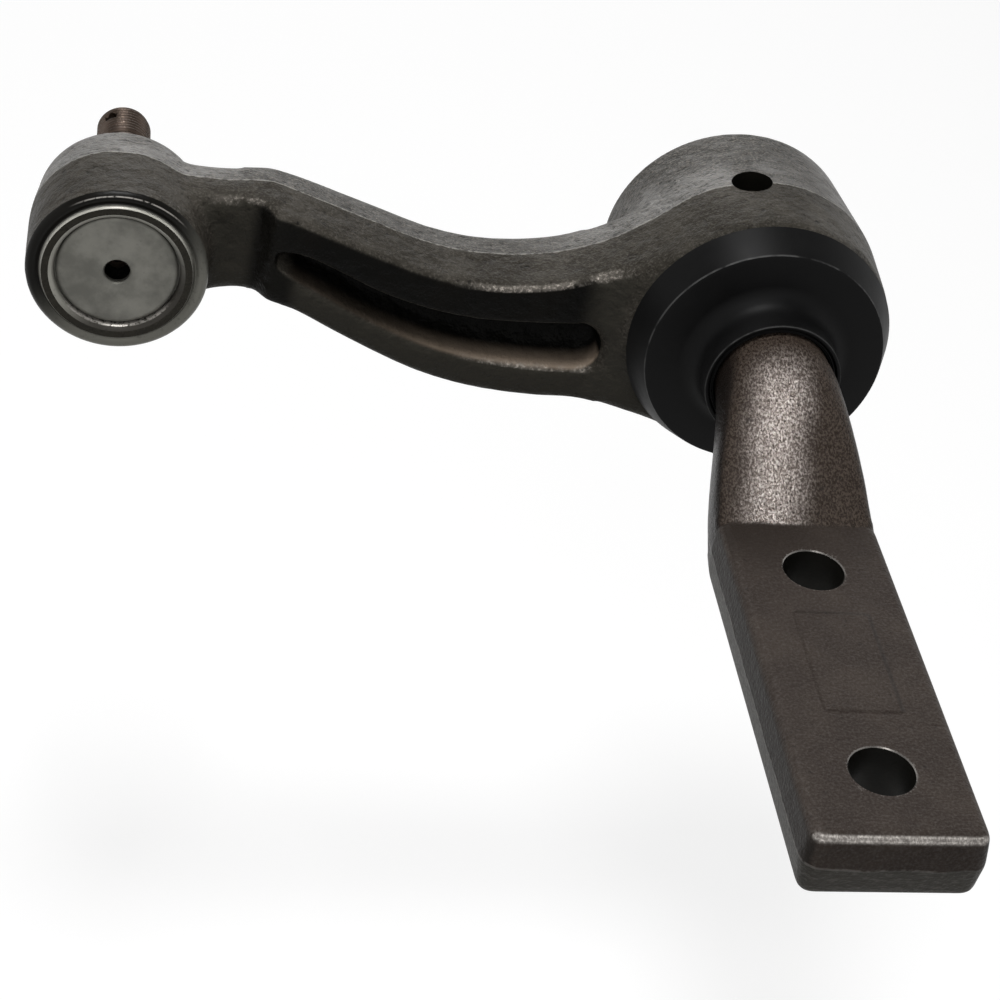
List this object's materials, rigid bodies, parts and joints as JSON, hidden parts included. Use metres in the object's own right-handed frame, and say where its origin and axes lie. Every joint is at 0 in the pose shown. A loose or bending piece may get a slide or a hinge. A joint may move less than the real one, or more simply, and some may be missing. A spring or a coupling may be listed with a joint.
{
  "type": "steering idler arm",
  "caption": "Steering idler arm: a cranked forged bracket with a bolting pad, its spindle turning in the barrel of an I-section arm that ends in a ball joint with a tapered, threaded stud.",
  "frame": {"origin": "middle of the bracket pad's bolting face, midway between its bolt holes", "axes": "+Z is the pad's outward face normal; +Y runs along the spindle from the pad towards the barrel and the ball stud's threaded end; the arm reaches towards -X"},
  "size_m": [0.2223, 0.243, 0.0718],
  "materials": {
    "forged_arm": "as forged, dark oxide scale",
    "forged_bracket": "as forged, brown-black oxide scale, turned spindle",
    "black_polymer": "satin moulded black",
    "black_rubber": "matt black",
    "bearing_polymer": "plain bearing polymer",
    "turned_steel": "turned",
    "stud_steel": "dark bronze-brown treated steel",
    "cover_steel": "satin pressed steel",
    "spring_steel": "plain spring steel"
  },
  "bodies": {
    "bracket": {"frame_bracket": "forged_bracket", "thrust_washer": "turned_steel", "preload_disc_spring": "spring_steel", "spindle_lock_nut": "turned_steel", "spindle_cotter_pin": "spring_steel"},
    "arm": {"arm_forging": "forged_arm", "barrel_dust_cap": "black_polymer", "shaft_wiper_ring": "black_rubber", "front_bushing": "bearing_polymer", "rear_bushing": "bearing_polymer", "barrel_end_plug": "cover_steel", "ball_socket_seat": "turned_steel", "ball_cover_plate": "cover_steel", "ball_preload_spring": "spring_steel"},
    "cup": {"pressure_cup": "turned_steel"},
    "half_ball": {"half_ball_bearing": "turned_steel"},
    "stud": {"ball_stud": "stud_steel"}
  },
  "joints": [
    {"name": "arm_swing", "type": "hinge", "parent": "bracket", "child": "arm", "pos_m": [0.001, 0.107, 0.0097], "axis": [0, 1, 0], "continuous": true},
    {"name": "cup_spin", "type": "hinge", "parent": "arm", "child": "cup", "pos_m": [-0.16304, 0.136, 0.02059], "axis": [0, 1, 0], "continuous": true},
    {"name": "ball_tilt", "type": "hinge", "parent": "cup", "child": "half_ball", "pos_m": [-0.16304, 0.136, 0.02059], "axis": [1, 0, 0], "range_deg": [-15, 15]},
    {"name": "stud_spin", "type": "hinge", "parent": "half_ball", "child": "stud", "pos_m": [-0.16304, 0.136, 0.02059], "axis": [0, 1, 0], "continuous": true}
  ]
}
